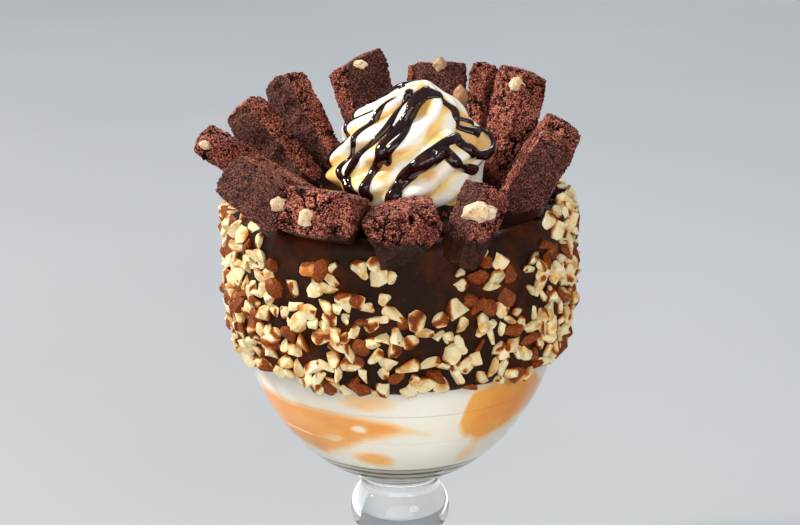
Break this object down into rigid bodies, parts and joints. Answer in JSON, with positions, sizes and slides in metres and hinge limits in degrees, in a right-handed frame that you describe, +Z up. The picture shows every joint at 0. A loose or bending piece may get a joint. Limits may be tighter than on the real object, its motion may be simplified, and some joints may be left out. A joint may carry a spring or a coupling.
{
  "type": "ice cream sundae",
  "caption": "Ice cream sundae in a clear footed glass: vanilla ice cream with a caramel seam, a chocolate and chopped nut coat, brownie fingers and a piped cream rosette.",
  "frame": {"origin": "the middle of the flat underside of the glass's foot", "axes": "+Z up along the glass's axis, -Y towards the side seen from the front, +X to the right seen from the front"},
  "size_m": [0.1587, 0.1545, 0.23],
  "materials": {
    "clear_glass": "clear, smooth, thick",
    "ice_cream": "soft, slightly rough, matt",
    "caramel": "glossy, slightly clear syrup",
    "chocolate": "set chocolate, satin",
    "nuts": "chopped almond, matt, pale with brown skin",
    "cream": "whipped cream, soft, slightly glossy",
    "brownie": "rough open crumb, matt with small glints"
  },
  "bodies": {
    "root": {"glass": "clear_glass", "ice_cream_lower": "ice_cream", "caramel_seam": "caramel", "ice_cream_upper": "ice_cream", "nut_coat": "chocolate", "whipped_cream": "cream", "brownie_01": "brownie", "brownie_02": "brownie", "brownie_03": "brownie", "brownie_04": "brownie", "brownie_05": "brownie", "brownie_06": "brownie", "brownie_07": "brownie", "brownie_08": "brownie", "brownie_09": "brownie", "brownie_10": "brownie", "brownie_11": "brownie", "brownie_12": "brownie", "brownie_13": "brownie"}
  },
  "joints": []
}
